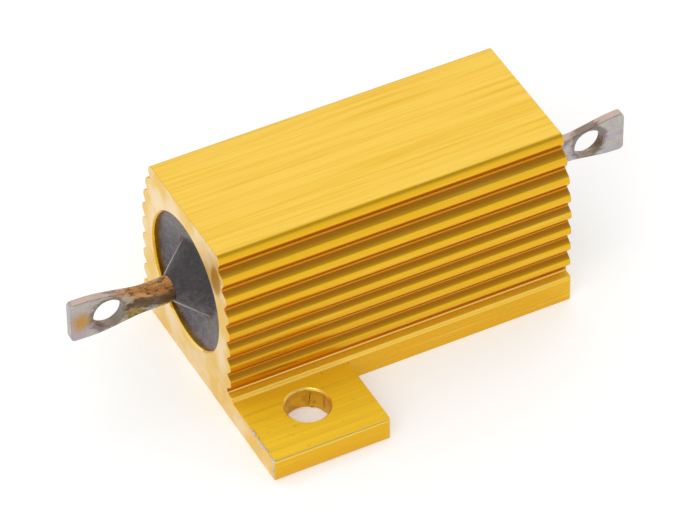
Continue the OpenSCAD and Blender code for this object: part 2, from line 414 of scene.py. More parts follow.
def tube(rings: np.ndarray, closed: bool, capped: bool) -> list[list[int]]:
    """Faces between rings of points that each hold the same number.

    Args:
        rings: Array of rings, points and coordinates.
        closed: Whether the last ring joins the first.
        capped: Whether the first and last rings are filled.

    Returns:
        The faces as lists of vertex numbers.
    """
    count, sides = rings.shape[:2]
    faces = []
    for r in range(count if closed else count - 1):
        for s in range(sides):
            a, b = r * sides, (r + 1) % count * sides
            faces.append([a + s, a + (s + 1) % sides, b + (s + 1) % sides, b + s])
    if capped:
        faces.append(list(range(sides)))
        faces.append(list(range((count - 1) * sides, count * sides)))
    return faces


def soften(thing: Thing, angle: float) -> None:
    """Shades an object smooth, apart from edges sharper than an angle in degrees."""
    thing.data.shade_smooth()
    thing.data.set_sharp_from_angle(angle=math.radians(angle))


def break_edges(thing: Thing, width: float) -> bpy.types.Modifier:
    """Rounds the sharp edges of a piece with a live bevel of two steps.

    Args:
        thing: The piece.
        width: Width of the rounding in millimetres.

    Returns:
        The bevel.
    """
    bevel = thing.modifiers.new("edge_break", "BEVEL")
    bevel.width = width * MM
    bevel.segments = 2
    bevel.limit_method = "ANGLE"
    bevel.angle_limit = math.radians(BREAK_ANGLE)
    bevel.use_clamp_overlap = False
    bevel.harden_normals = True
    return bevel


def mount(thing: Thing, slot: Slot, *nodes: str) -> None:
    """Ties a piece to the frame and reports it.

    Args:
        thing: The piece.
        slot: Material slot of the record, which is only logged.
        *nodes: CAD nodes that it stands for.
    """
    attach(thing, ROOT)
    if nodes:
        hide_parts(*nodes)
    faces = len(thing.data.polygons)
    LOG.info("%s: %d faces, slot %s, stands for %s", thing.name, faces, slot.value, nodes or "itself")


def smooth_share(values: np.ndarray) -> np.ndarray:
    """Returns values clipped to 0..1 and eased at both ends."""
    share = np.clip(values, 0.0, 1.0)
    return share * share * (3 - 2 * share)


# ------------------------------------------------------------------ finishes


@dataclass(frozen=True)
class Grain:
    """A noise: its cells in a millimetre along x, y and z, its octaves and their strength."""

    cells: Corner
    detail: float = 3.0
    rough: float = 0.55

    def field(self, graph: Graph, place: Wire) -> Wire:
        """Returns the noise at a place in millimetres."""
        scaled = graph.vector("MULTIPLY", place, self.cells)
        inputs = {"Vector": scaled, "Scale": 1.0, "Detail": self.detail, "Roughness": self.rough}
        return graph.add("ShaderNodeTexNoise", inputs).outputs["Fac"]


@dataclass(frozen=True)
class Finish:
    """Base of the finishes: a principled shader that the subclasses feed."""

    name: str
    colour: Colour
    roughness: float
    metallic: float = 0.0

    def material(self) -> bpy.types.Material:
        """Returns the material, made on its first use."""
        if self.name in bpy.data.materials:
            return bpy.data.materials[self.name]
        material = bpy.data.materials.new(self.name)
        graph = Graph.blank(material)
        shader = graph.add(
            "ShaderNodeBsdfPrincipled",
            {"Base Color": (*self.colour, 1.0), "Roughness": self.roughness, "Metallic": self.metallic},
        )
        place = graph.add("ShaderNodeTexCoord").outputs["Object"]
        self.dress(graph, shader, graph.vector("MULTIPLY", place, (1 / MM, 1 / MM, 1 / MM)))
        graph.add("ShaderNodeOutputMaterial", {"Surface": shader.outputs[0]})
        return material

    def dress(self, graph: Graph, shader: Node, place: Wire) -> None:
        """Adds the finish's own detail.

        Args:
            graph: Graph of the material.
            shader: The principled shader.
            place: Position on the object in millimetres.
        """
        raise NotImplementedError

    @staticmethod
    def bumped(graph: Graph, shader: Node, height: Wire, depth: float) -> None:
        """Feeds a height from 0 to 1 into the shader's normal, as a relief so many millimetres deep."""
        inputs = {"Height": height, "Distance": depth * MM, "Strength": 1.0}
        graph.feed(shader, "Normal", graph.out("ShaderNodeBump", inputs))


@dataclass(frozen=True)
class GoldField:
    """Where a point of the housing lies and the grains it shows: shares run from 0 to 1."""

    place: Wire
    x: Wire
    y: Wire
    z: Wire
    tilt: Wire
    level: Wire
    milled: Wire
    hole: Wire
    sawn: Wire
    # groove is the share of painted shade in the grooves.
    groove: Wire
    lines: Wire
    saw: Wire
    speck: Wire


@dataclass(frozen=True)
class AnodisedGold(Finish):
    """Gold anodising over an extruded section with milled sides and sawn ends."""

    # flank is the darker tone of faces that don't face up, painted shade by facing; it also streaks the
    # milled tabs.
    flank: Colour = (0.78, 0.44, 0.014)
    sawn: Colour = (0.80, 0.55, 0.18)
    pale: Colour = (0.89, 0.71, 0.44)
    # deep is the tone of the painted shade in the grooves and low at the front, and of the dark specks on
    # the milled tabs.
    deep: Colour = (0.54, 0.20, 0.008)
    milled: Colour = (1.0, 0.64, 0.012)
    patch: Colour = (0.58, 0.29, 0.01)
    # A painted highlight on the rounded top edges of the tabs.
    edge_highlight: Colour = (1.0, 0.74, 0.20)
    dirt: Colour = (0.32, 0.19, 0.01)
    lines: Grain = Grain((3.5, 0.05, 3.5), 4.0, 0.7)
    hair: Grain = Grain((11.0, 0.12, 11.0), 2.0, 0.5)
    saw: Grain = Grain((1.1, 1.1, 2.2), 5.0, 0.75)
    cloud: Grain = Grain((0.3, 0.3, 0.3))
    speck: Grain = Grain((2.2, 1.6, 2.2), 4.0, 0.7)
    line_depth: float = 0.006
    saw_depth: float = 0.02
    hole_depth: float = 0.06
    patch_place: Corner = (5.1, -13.85, 12.1)
    patch_squeeze: Corner = (1.3, 1.0, 0.75)
    patch_edge: Span = (0.7, 1.2)
    hole_place: Corner = (9.9, -9.15, 0.0)
    hole_edge: Span = (1.67, 1.75)
    hole_top: Span = (1.8, 1.88)
    milled_top: Span = (2.3, 2.5)
    highlight_top: Span = (3.0, 3.1)
    # groove_depth and inner_depth bound the painted shade in the grooves.
    groove_depth: Span = (0.04, 0.36)
    inner_depth: Span = (0.8, 1.0)
    shoulder: Span = (14.1, 14.4)
    # shaded_length and shaded_height bound the painted shade towards the front end and the bottom.
    shaded_length: Span = (-13.0, 4.0)
    shaded_height: Span = (2.0, 12.0)
    matt_width: Span = (7.12, 11.62)
    half_flank: float = 7.12
    bow_start: float = 7.6
    bow_radius: float = 16.0
    coat: float = 0.12
    coat_roughness: float = 0.3
    coat_ior: float = 1.6

    def groove_shade_share(self, graph: Graph, place: Wire) -> Wire:
        """Returns 1 at the bottom of the grooves between the ribs and 0 on the crests, as the share of
        painted shade there.
        """
        x, _, z = graph.parts(place)
        over = graph.math("MAXIMUM", graph.minus(z, self.bow_start), 0.0)
        rise = graph.minus(self.bow_radius**2, graph.times(over, over))
        lean = graph.minus(self.bow_radius, graph.math("SQRT", rise))
        depth = graph.minus(graph.minus(self.half_flank, lean), graph.absolute(x))
        body = graph.times(graph.ramp(depth, *self.groove_depth), graph.drop(depth, *self.inner_depth))
        return graph.times(body, graph.drop(z, *self.shoulder))

    def hole_share(self, graph: Graph, place: Wire) -> Wire:
        """Returns 1 on the walls of the screw holes and 0 elsewhere."""
        x, y, z = graph.parts(place)
        along = graph.times(y, graph.math("SIGN", x))
        away = graph.distance(graph.joined(graph.absolute(x), along, 0.0), self.hole_place)
        return graph.times(graph.drop(away, *self.hole_edge), graph.drop(z, *self.hole_top))

    def survey(self, graph: Graph, place: Wire) -> GoldField:
        """Returns the fields that the tone, the sheen and the relief share."""
        _, endwise, tilt = graph.parts(graph.add("ShaderNodeNewGeometry").outputs["Normal"])
        x, y, z = graph.parts(place)
        hole = self.hole_share(graph, place)
        sawn = graph.times(graph.ramp(graph.absolute(endwise), 0.8, 0.95), graph.rest(hole))
        return GoldField(
            place=place,
            x=x,
            y=y,
            z=z,
            tilt=tilt,
            level=graph.ramp(tilt, 0.9, 0.99),
            milled=graph.drop(z, *self.milled_top),
            hole=hole,
            sawn=sawn,
            groove=graph.times(self.groove_shade_share(graph, place), graph.rest(sawn)),
            lines=self.lines.field(graph, place),
            saw=self.saw.field(graph, place),
            speck=self.speck.field(graph, place),
        )

    def drawn_tone(self, graph: Graph, at: GoldField) -> Wire:
        """Returns the colour of the drawn and milled faces: streaks, painted shade on the flanks, in the
        grooves and low at the front, and a painted highlight on the tabs' top edges.
        """
        hair = self.hair.field(graph, at.place)
        streak = graph.spread(at.lines, 0.3, 0.7, 0.4, -0.6)
        streak = graph.plus(streak, graph.spread(hair, 0.3, 0.7, 0.35, -0.5))
        # Faces that face up take colour and the others the darker flank tone: painted shade by facing.
        base = graph.mixed(graph.plus(at.level, streak), self.flank, self.colour)
        # Painted shade towards the front end and the bottom, made uneven by the lines.
        ahead = graph.times(graph.drop(at.y, *self.shaded_length), graph.drop(at.z, *self.shaded_height))
        uneven = graph.spread(at.lines, 0.35, 0.6, 0.1, 0.6)
        shaded = graph.times(ahead, uneven, graph.rest(at.milled))
        # dark is the painted shade, in the grooves and towards the front and the bottom.
        dark = graph.math("MAXIMUM", graph.times(at.groove, 0.85), shaded)
        bare = graph.mixed(graph.spread(at.lines, 0.4, 0.65, 0.0, 0.55), self.milled, self.flank)
        bare = graph.mixed(graph.ramp(at.speck, 0.6, 0.8), bare, self.deep)
        tone = graph.mixed(graph.times(at.milled, at.level), graph.mixed(dark, base, self.deep), bare)
        # A painted highlight on faces that lean partly up, low on the housing: the rounded top edges of
        # the tabs.
        turning = graph.times(graph.ramp(at.tilt, 0.3, 0.6), graph.drop(at.tilt, 0.86, 0.96))
        painted_highlight = graph.times(turning, graph.drop(at.z, *self.highlight_top), 0.8)
        return graph.mixed(painted_highlight, tone, self.edge_highlight)

    def end_tone(self, graph: Graph, at: GoldField) -> Wire:
        """Returns the colour of the sawn ends: saw marks, pale clouds and one deep patch."""
        away = graph.vector("SUBTRACT", at.place, self.patch_place)
        spot = graph.distance(graph.vector("MULTIPLY", away, self.patch_squeeze), ORIGIN)
        tone = graph.mixed(graph.ramp(at.saw, 0.36, 0.62), self.sawn, self.colour)
        tone = graph.mixed(graph.ramp(self.cloud.field(graph, at.place), 0.4, 0.64), tone, self.pale)
        return graph.mixed(graph.drop(spot, *self.patch_edge), tone, self.patch)

    def sheen(self, graph: Graph, at: GoldField) -> Wire:
        """Returns the roughness: smooth drawn faces, duller milled ones, rough ends and holes."""
        smooth = graph.spread(at.lines, 0.3, 0.7, self.roughness - 0.04, self.roughness + 0.06)
        dull = graph.times(at.level, graph.spread(at.milled, 0.0, 1.0, 0.1, 0.34))
        coarse = graph.spread(at.saw, 0.3, 0.7, self.roughness + 0.12, self.roughness + 0.3)
        rough = graph.blend(at.sawn, graph.plus(smooth, dull), coarse)
        return graph.plus(rough, graph.times(at.hole, 0.2))

    def dress(self, graph: Graph, shader: Node, place: Wire) -> None:
        """Adds extrusion lines, sawn ends, rough hole walls, milled tabs, uneven painted shade and a
        painted highlight.
        """
        at = self.survey(graph, place)
        tone = graph.mixed(at.sawn, self.drawn_tone(graph, at), self.end_tone(graph, at))
        pitted = graph.times(at.hole, graph.times(graph.ramp(at.speck, 0.46, 0.66), 0.5))
        graph.feed(shader, "Base Color", graph.mixed(pitted, tone, self.dirt))
        graph.feed(shader, "Roughness", self.sheen(graph, at))
        outward = graph.spread(graph.absolute(at.x), *self.matt_width, 0.45, 0.95)
        graph.feed(shader, "Metallic", graph.rest(graph.times(at.milled, at.level, outward)))
        shader.inputs["Coat Weight"].default_value = self.coat
        shader.inputs["Coat Roughness"].default_value = self.coat_roughness
        shader.inputs["Coat IOR"].default_value = self.coat_ior
        saw = graph.times(at.saw, self.saw_depth)
        relief = graph.blend(at.sawn, graph.times(at.lines, self.line_depth), saw)
        pits = graph.times(at.speck, at.hole, self.hole_depth)
        self.bumped(graph, shader, graph.plus(relief, pits), 1.0)


@dataclass(frozen=True)
class WornEdge(Finish):
    """Edges where the dye is thin and bare metal shows, broken up by small dark nicks."""

    dyed: Colour = (0.84, 0.55, 0.12)
    nick: Colour = (0.20, 0.11, 0.05)
    patches: Grain = Grain((0.8, 0.8, 0.8), 4.0, 0.7)
    dents: Grain = Grain((1.7, 1.7, 1.7), 3.0, 0.6)

    def dress(self, graph: Graph, shader: Node, place: Wire) -> None:
        """Breaks the bare line up along its length."""
        patches, dents = self.patches.field(graph, place), self.dents.field(graph, place)
        tone = graph.mixed(graph.ramp(patches, 0.45, 0.62), self.dyed, self.colour)
        graph.feed(shader, "Base Color", graph.mixed(graph.ramp(dents, 0.58, 0.64), tone, self.nick))


@dataclass(frozen=True)
class Compound(Finish):
    """Dark moulding compound: a smooth pressed funnel round a rough boss, with painted highlight lines
    down its sides.
    """

    boss_tone: Colour = (0.022, 0.017, 0.018)
    pale: Colour = (0.18, 0.145, 0.165)
    # The pale tone of the painted highlight lines down the sides of the boss.
    glint_tone: Colour = (0.42, 0.38, 0.38)
    mottle: Grain = Grain((1.3, 0.7, 1.3), 5.0, 0.75)
    fine: Grain = Grain((4.0, 1.2, 4.0), 6.0, 0.85)
    depth: float = 0.05
    axis_height: float = 7.8
    boss_edge: Span = (2.75, 3.1)
    glint_angles: Span = (141.0, -47.0)
    glint_edge: Span = (0.13, 0.26)
    glint_start: Span = (0.9, 1.1)

    def glint_lines(self, graph: Graph, x: Wire, up: Wire) -> Wire:
        """Returns 1 along the painted highlight lines that run down the sides of the boss and 0 elsewhere.

        Args:
            graph: Graph of the material.
            x: Place across the bore, in millimetres.
            up: Height above the bore's axis, in millimetres.

        Returns:
            The share's socket.
        """
        total: object = 0.0
        for angle in self.glint_angles:
            c, s = math.cos(math.radians(angle)), math.sin(math.radians(angle))
            off = graph.minus(graph.times(up, c), graph.times(x, s))
            ahead = graph.plus(graph.times(x, c), graph.times(up, s))
            line = graph.drop(graph.absolute(off), *self.glint_edge)
            total = graph.plus(total, graph.times(line, graph.ramp(ahead, *self.glint_start)))
        return total

    def dress(self, graph: Graph, shader: Node, place: Wire) -> None:
        """Adds the rough boss, its painted highlight lines and a fine mottling."""
        x, y, z = graph.parts(place)
        up = graph.minus(z, self.axis_height)
        boss = graph.drop(graph.distance(graph.joined(x, 0.0, up), ORIGIN), *self.boss_edge)
        mottle, fine = self.mottle.field(graph, place), self.fine.field(graph, place)
        smooth = graph.mixed(graph.ramp(mottle, 0.42, 0.72), self.colour, self.pale)
        chalk = graph.times(graph.ramp(fine, 0.42, 0.6), graph.spread(up, -2.0, 1.0, 1.0, 0.15))
        crumbled = graph.mixed(chalk, self.boss_tone, self.pale)
        # line is the painted highlight down the sides of the boss, on the front end only.
        line = graph.times(self.glint_lines(graph, x, up), boss, graph.math("LESS_THAN", y, 0.0))
        tone = graph.mixed(line, graph.mixed(boss, smooth, crumbled), self.glint_tone)
        graph.feed(shader, "Base Color", tone)
        rough = graph.plus(graph.times(boss, 0.25), graph.spread(mottle, 0.3, 0.7, 0.16, 0.36))
        graph.feed(shader, "Roughness", rough)
        height = graph.times(fine, graph.plus(graph.times(boss, 0.9), 0.1))
        self.bumped(graph, shader, height, self.depth)


@dataclass(frozen=True)
class LugField:
    """Where a point of a terminal lies and the grains it shows."""

    place: Wire
    along: Wire
    up: Wire
    behind: Wire
    blotch: Wire
    hue: Wire
    fine: Wire


@dataclass(frozen=True)
class TinnedLug(Finish):
    """Tinned copper alloy, stained where it was heated near the body, with a painted highlight and painted
    shade on the neck.
    """

    # copper goes on top of the neck: partly the real copper, partly a painted highlight.
    copper: Colour = (0.54, 0.28, 0.11)
    # Dark tone of the scorch marks, of the band of painted shade on the neck and of the ring at the eye.
    scorch_and_shade: Colour = (0.09, 0.055, 0.035)
    olive: Colour = (0.34, 0.25, 0.08)
    lilac: Colour = (0.44, 0.38, 0.42)
    rosy: Colour = (0.56, 0.40, 0.32)
    stain: Colour = (0.50, 0.27, 0.045)
    blotch: Grain = Grain((0.6, 0.6, 0.6), 4.0, 0.65)
    hue: Grain = Grain((1.1, 0.8, 1.1), 4.0, 0.6)
    fine: Grain = Grain((3.5, 1.6, 3.5), 5.0, 0.75)
    depth: float = 0.04
    stain_place: Corner = (0.38, -22.26, 7.85)
    stain_edge: Span = (0.3, 1.1)
    eyes: Span = (20.1, 19.0)
    eye_edge: Span = (1.3, 1.8)
    neck_end: Span = (4.3, 5.4)
    rear_shift: float = 2.6
    body_end: float = 13.85
    axis_height: float = 7.8

    def neck_tone(self, graph: Graph, at: LugField) -> Wire:
        """Returns the colour of the heated neck: copper on top that is partly a painted highlight, and
        scorch marks with a band of painted shade in the middle.
        """
        low = graph.mixed(graph.ramp(at.hue, 0.46, 0.6), self.olive, self.lilac)
        # Copper on top and stained tones below: partly real, partly a painted highlight on the top.
        tone = graph.mixed(graph.ramp(graph.plus(at.up, at.fine), 0.5, 1.05), low, self.copper)
        # A band of painted shade along the middle of the neck, added to the scorch marks.
        shade_band = graph.times(graph.ramp(at.up, -0.6, -0.1), graph.drop(at.up, 0.3, 0.65))
        scorch_and_shade_share = graph.times(graph.plus(graph.ramp(at.fine, 0.47, 0.62), shade_band), 0.85)
        return graph.mixed(graph.math("MINIMUM", scorch_and_shade_share, 0.9), tone, self.scorch_and_shade)

    def tin_tone(self, graph: Graph, at: LugField) -> Wire:
        """Returns the colour of the tinned lug: clouds, a rosy top, a stain, a dark ring at the eye."""
        tone = graph.mixed(graph.ramp(at.hue, 0.42, 0.6), self.colour, self.lilac)
        tone = graph.mixed(graph.times(graph.ramp(at.fine, 0.56, 0.68), 0.6), tone, self.olive)
        tilt = graph.parts(graph.add("ShaderNodeNewGeometry").outputs["Normal"])[2]
        tone = graph.mixed(graph.times(graph.ramp(tilt, 0.7, 0.95), 0.7), tone, self.rosy)
        ragged = graph.spread(at.fine, 0.3, 0.7, -0.35, 0.35)
        away = graph.plus(graph.distance(at.place, self.stain_place), ragged)
        tone = graph.mixed(graph.times(graph.drop(away, *self.stain_edge), 0.9), tone, self.stain)
        eye = graph.joined(0.0, graph.spread(at.behind, 0.0, 1.0, *self.eyes), 0.0)
        ring = graph.distance(graph.joined(0.0, at.along, at.up), eye)
        ring = graph.plus(ring, graph.spread(at.fine, 0.3, 0.7, 0.3, -0.3))
        return graph.mixed(graph.times(graph.drop(ring, *self.eye_edge), 0.6), tone, self.scorch_and_shade)

    def dress(self, graph: Graph, shader: Node, place: Wire) -> None:
        """Adds the neck with its scorch marks, painted highlight and painted shade, the stain by the front
        eye and a dull, clouded grain.
        """
        _, y, z = graph.parts(place)
        at = LugField(
            place=place,
            along=graph.absolute(y),
            up=graph.minus(z, self.axis_height),
            behind=graph.math("GREATER_THAN", y, 0.0),
            blotch=self.blotch.field(graph, place),
            hue=self.hue.field(graph, place),
            fine=self.fine.field(graph, place),
        )
        out = graph.plus(graph.minus(at.along, self.body_end), graph.times(at.behind, self.rear_shift))
        wander = graph.plus(out, graph.spread(at.blotch, 0.3, 0.7, -1.3, 1.3))
        share = graph.ramp(wander, *self.neck_end)
        tone = graph.mixed(share, self.neck_tone(graph, at), self.tin_tone(graph, at))
        graph.feed(shader, "Base Color", tone)
        rough = graph.spread(at.fine, 0.3, 0.7, self.roughness - 0.12, self.roughness + 0.12)
        graph.feed(shader, "Roughness", rough)
        self.bumped(graph, shader, graph.plus(at.fine, at.blotch), self.depth)


@dataclass(frozen=True)
class FiredCeramic(Finish):
    """Unglazed fired ceramic."""

    speck: Grain = Grain((6.0, 6.0, 6.0), 4.0)
    shade: float = 0.8
    depth: float = 0.01

    def dress(self, graph: Graph, shader: Node, place: Wire) -> None:
        """Adds a speckle and a fine tooth."""
        speck = self.speck.field(graph, place)
        darker = tuple(self.shade * c for c in self.colour)
        graph.feed(shader, "Base Color", graph.mixed(graph.ramp(speck, 0.55, 0.75), self.colour, darker))
        self.bumped(graph, shader, speck, self.depth)


@dataclass(frozen=True)
class DrawnMetal(Finish):
    """Plain drawn or pressed metal with fine lines round the bore's axis."""

    lines: Grain = Grain((1.5, 14.0, 1.5), 4.0)
    depth: float = 0.004

    def dress(self, graph: Graph, shader: Node, place: Wire) -> None:
        """Adds the drawing lines."""
        lines = self.lines.field(graph, place)
        rough = graph.spread(lines, 0.3, 0.7, self.roughness - 0.05, self.roughness + 0.1)
        graph.feed(shader, "Roughness", rough)
        self.bumped(graph, shader, lines, self.depth)


GOLD = AnodisedGold("gold_anodising", (0.86, 0.57, 0.085), 0.28, 1.0)
EDGE = WornEdge("worn_edge", (0.90, 0.72, 0.42), 0.3, 1.0)
BARE = DrawnMetal("bare_aluminium", (0.66, 0.60, 0.62), 0.3, 1.0)
COMPOUND = Compound("moulding_compound", (0.052, 0.044, 0.054), 0.3)
TINNED = TinnedLug("tinned_lug", (0.46, 0.45, 0.39), 0.32, 1.0)
CERAMIC = FiredCeramic("fired_ceramic", (0.88, 0.86, 0.80), 0.6)
ALLOY = DrawnMetal("resistance_alloy", (0.56, 0.50, 0.44), 0.35, 1.0)
PLATED = DrawnMetal("plated_cap", (0.62, 0.62, 0.62), 0.28, 1.0)


# ------------------------------------------------------------------ housing


@dataclass
class Ribs:
    """Sizes of the ribs on a flank."""

    count: int = 7
    depth: float = 0.52
    thickness: float = 0.82
    slope: float = 0.32
    undercut: float = 0.58
    lean: float = 0.06
    lowest_tip: float = 3.3
    tip_radius: float = 0.42
    brow_radius: float = 0.25
    groove_radius: float = 0.12


@dataclass
class Tabs:
    """Sizes of the milled base and its two screw tabs."""

    length: float = 9.3
    thickness: float = 1.9
    ledge: float = 0.35
    lip: float = 0.13
    edge_radius: float = 0.25
    lower_radius: float = 0.25
    ledge_radius: float = 0.12
    mill_radius: float = 0.3
    end_radius: float = 0.15
    hole_radius: float = 1.65
    hole_spacing: Span = (19.8, 18.3)
    hole_chamfer: float = 0.12


@dataclass
class Housing:
    """The gold extrusion: ribbed section, milled sides, bore and screw holes."""

    length: float
    height: float
    span: float
    half_flank: float = 7.12
    bow_start: float = 7.6
    bow_radius: float = 16.0
    shoulder_drop: float = 0.6
    shoulder_radius: float = 0.2
    top_radius: float = 0.55
    root_depth: float = 0.65
    bore_radius: float = 5.3
    bore_height: float = 7.8
    bore_chamfer: float = 0.12
    fillet_steps: int = 5
    smooth_angle: float = 30.0
    worn_width: float = 0.05
    drill_sides: int = 128
    punch_sides: int = 96
    punch_depth: float = 20.0
    slab_heights: float = 4.0
    weld: float = 0.001
    ribs: Ribs = field(default_factory=Ribs)
    tabs: Tabs = field(default_factory=Tabs)

    @property
    def pitch(self) -> float:
        """Distance between two rib tips."""
        return (self.height - self.shoulder_drop - self.ribs.lowest_tip) / self.ribs.count

    @property
    def half_base(self) -> float:
        """Half the width of the milled base between its tabs."""
        return self.half_flank + self.tabs.lip

    def lower_corners(self) -> list[tuple[Corner, bool]]:
        """Corners under the ribs: (x or depth, z, radius) and whether on the flank."""
        tabs, ribs = self.tabs, self.ribs
        ledge_top = tabs.thickness + tabs.ledge
        return [
            ((self.span / 2, 0.0, tabs.lower_radius), False),
            ((self.span / 2, tabs.thickness, tabs.edge_radius), False),
            ((self.half_base, tabs.thickness, tabs.ledge_radius), False),
            ((0.0, ledge_top, tabs.ledge_radius), True),
            ((self.root_depth, ledge_top, self.shoulder_radius), True),
            ((self.root_depth, ribs.lowest_tip - ribs.undercut, self.shoulder_radius), True),
        ]

    def upper_corners(self) -> list[Corner]:
        """Corners over the ribs: (depth, z, radius)."""
        return [
            (0.0, self.height - self.shoulder_drop, self.shoulder_radius),
            (0.0, self.height, self.top_radius),
        ]

    def rib_corners(self) -> list[Corner]:
        """Corners of the lowest rib, from its tip to the groove over it: (depth, z, radius)."""
        ribs = self.ribs
        tip, top = ribs.lowest_tip, ribs.lowest_tip + ribs.thickness
        return [
            (0.0, tip, ribs.tip_radius),
            (ribs.lean, top - ribs.slope, ribs.brow_radius),
            (ribs.depth, top, ribs.groove_radius),
            (ribs.depth, tip + self.pitch - ribs.undercut, ribs.groove_radius),
        ]

    def milled_corners(self) -> list[Corner]:
        """Half of the milled outline seen from above: (x, y, radius)."""
        half_length, half_span = self.length / 2, self.span / 2
        step = half_length - self.tabs.length
        return [
            (half_span, -half_length, 0.0),
            (half_span, -step, self.tabs.mill_radius),
            (self.half_base, -step, self.tabs.mill_radius),
            (self.half_base, half_length, self.tabs.end_radius),
        ]

    def seed(self) -> bpy.types.Mesh:
        """Corner points for the recipe, with their rounding and what outline they belong to."""
        lower, ribs = self.lower_corners(), self.rib_corners()
        after = len(lower) + self.ribs.count * len(ribs)
        rows = [(*c, flank, False, False, i) for i, (c, flank) in enumerate(lower)]
        rows += [(*c, True, False, False, after + i) for i, c in enumerate(self.upper_corners())]
        rows += [(*c, True, True, False, len(lower) + i) for i, c in enumerate(ribs)]
        rows += [(*c, False, False, True, i) for i, c in enumerate(self.milled_corners())]
        mesh = bpy.data.meshes.new("corner_points")
        mesh.from_pydata([(r[0], r[1], 0.0) for r in rows], [], [])
        for number, name in enumerate(("rounding", "on_flank", "is_rib", "is_plan", "order"), start=2):
            layer = mesh.attributes.new(name, "FLOAT", "POINT")
            layer.data.foreach_set("value", [float(row[number]) for row in rows])
        return mesh

    def recipe(self) -> Recipe:
        """Builds the node tree that repeats the ribs, extrudes the section and machines it."""
        recipe = Recipe("ribbed_extrusion")
        graph = recipe.graph
        size = {name: recipe.ask(name) for name in self.lengths()}
        count = recipe.ask("Rib Count", Socket.COUNT)
        steps = recipe.ask("Fillet Steps", Socket.COUNT)
        points = graph.out("GeometryNodeMeshToPoints", {"Mesh": recipe.seed})
        plan, section = recipe.split(points, "is_plan")
        outline = self.outline(recipe, self.section_points(recipe, section, size, count), steps)
        bar = self.solid(recipe, outline, size["Length"])
        upright = recipe.moved(bar, rotation=(math.pi / 2, 0.0, 0.0))
        seen_above = self.outline(recipe, self.turned_points(recipe, plan), steps)
        slab = self.solid(recipe, seen_above, graph.times(size["Height"], self.slab_heights))
        inputs = {"Mesh 2": [upright, slab]}
        milled = graph.out("GeometryNodeMeshBoolean", inputs, operation="INTERSECT", solver="EXACT")
        cutters = [*self.bore_cutters(recipe, size), *self.hole_cutters(recipe, size)]
        inputs = {"Mesh 1": milled, "Mesh 2": cutters}
        recipe.finish(graph.out("GeometryNodeMeshBoolean", inputs, operation="DIFFERENCE", solver="EXACT"))
        return recipe

    def lengths(self) -> dict[str, float]:
        """Returns the recipe's named lengths with their values."""
        hole_x, hole_y = self.tabs.hole_spacing
        return {
            "Length": self.length,
            "Height": self.height,
            "Half Flank": self.half_flank,
            "Bow Start": self.bow_start,
            "Bow Radius": self.bow_radius,
            "Rib Pitch": self.pitch,
            "Bore Radius": self.bore_radius,
            "Bore Height": self.bore_height,
            "Bore Chamfer": self.bore_chamfer,
            "Hole Radius": self.tabs.hole_radius,
            "Hole Chamfer": self.tabs.hole_chamfer,
            "Hole X": hole_x,
            "Hole Y": hole_y,
            "Tab Thickness": self.tabs.thickness,
        }

    def section_points(self, recipe: Recipe, points: Wire, size: dict[str, Wire], count: Wire) -> Wire:
        """Repeats the rib's corners up the flank and mirrors the half section.

        Args:
            recipe: The recipe that is being built.
            points: Corner points of the section.
            size: Named length inputs.
            count: Number of ribs.

        Returns:
            All the corner points of the section, with their order round it.
        """
        graph = recipe.graph
        rib, others = recipe.split(points, "is_rib")
        inputs = {"Geometry": rib, "Amount": count}
        copies, index = graph.add("GeometryNodeDuplicateElements", inputs, domain="POINT").outputs[:2]
        risen = graph.joined(0.0, graph.times(index, size["Rib Pitch"]), 0.0)
        lifted = graph.out("GeometryNodeSetPosition", {0: copies, "Offset": risen})
        later = graph.times(index, float(len(self.rib_corners())))
        numbered = recipe.stored(lifted, "order", graph.plus(recipe.attribute("order"), later))
        x, z, _ = graph.parts(graph.out("GeometryNodeInputPosition"))
        above = graph.math("MAXIMUM", graph.minus(z, size["Bow Start"]), 0.0)
        square = graph.times(size["Bow Radius"], size["Bow Radius"])
        chord = graph.math("SQRT", graph.minus(square, graph.times(above, above)))
        crest = graph.minus(size["Half Flank"], graph.minus(size["Bow Radius"], chord))
        place = graph.joined(graph.minus(crest, x), z, 0.0)
        inputs = {0: recipe.joined(numbered, others), "Selection": recipe.attribute("on_flank")}
        right = graph.out("GeometryNodeSetPosition", {**inputs, "Position": place})
        flipped = recipe.moved(right, scale=(-1.0, 1.0, 1.0))
        back = graph.minus(LAST_CORNER, recipe.attribute("order"))
        return recipe.joined(recipe.stored(flipped, "order", back), right)

    def turned_points(self, recipe: Recipe, points: Wire) -> Wire:
        """Returns the half outline and its copy turned half round, which gives the other tab."""
        turned = recipe.moved(points, rotation=(0.0, 0.0, math.pi))
        later = recipe.graph.plus(recipe.attribute("order"), SECOND_HALF)
        return recipe.joined(recipe.stored(turned, "order", later), points)

    @staticmethod
    def outline(recipe: Recipe, points: Wire, steps: Wire) -> Wire:
        """Joins corner points in their order and rounds every corner by its own radius.

        Args:
            recipe: The recipe that is being built.
            points: Corner points.
            steps: Points on each rounded corner.

        Returns:
            The closed curve.
        """
        graph = recipe.graph
        inputs = {"Points": points, "Weight": recipe.attribute("order")}
        curve = graph.out("GeometryNodePointsToCurves", inputs)
        ring = graph.out("GeometryNodeSetSplineCyclic", {"Geometry": curve, "Cyclic": True})
        radius = recipe.attribute("rounding")
        inputs = {"Curve": ring, "Count": steps, "Radius": radius, "Limit Radius": True}
        return graph.out("GeometryNodeFilletCurve", inputs, mode="POLY")

